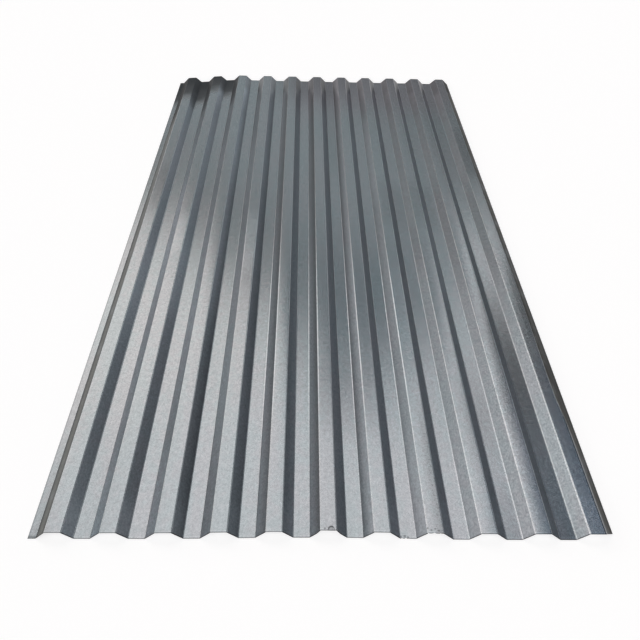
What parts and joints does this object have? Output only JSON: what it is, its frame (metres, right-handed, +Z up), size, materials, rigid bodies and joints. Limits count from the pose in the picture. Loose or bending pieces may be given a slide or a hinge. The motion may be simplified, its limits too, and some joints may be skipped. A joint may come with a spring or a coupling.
{
  "type": "corrugated metal sheet",
  "caption": "Trapezoidal roofing and cladding sheet of thin zinc-coated steel, rolled into even parallel ribs, with a short lap flange along one long edge.",
  "frame": {"origin": "middle of the sheet's length and width, on the floor that its valleys rest on", "axes": "+X across the ribs, from the lap flange to the outer web; +Y along the ribs; +Z up, out of the valleys"},
  "size_m": [1.0842, 2.1, 0.02],
  "materials": {
    "zinc_coated_steel": "hot-dip zinc with a fine spangle, satin, lightly weathered"
  },
  "bodies": {
    "root": {"sheet": "zinc_coated_steel"}
  },
  "joints": []
}
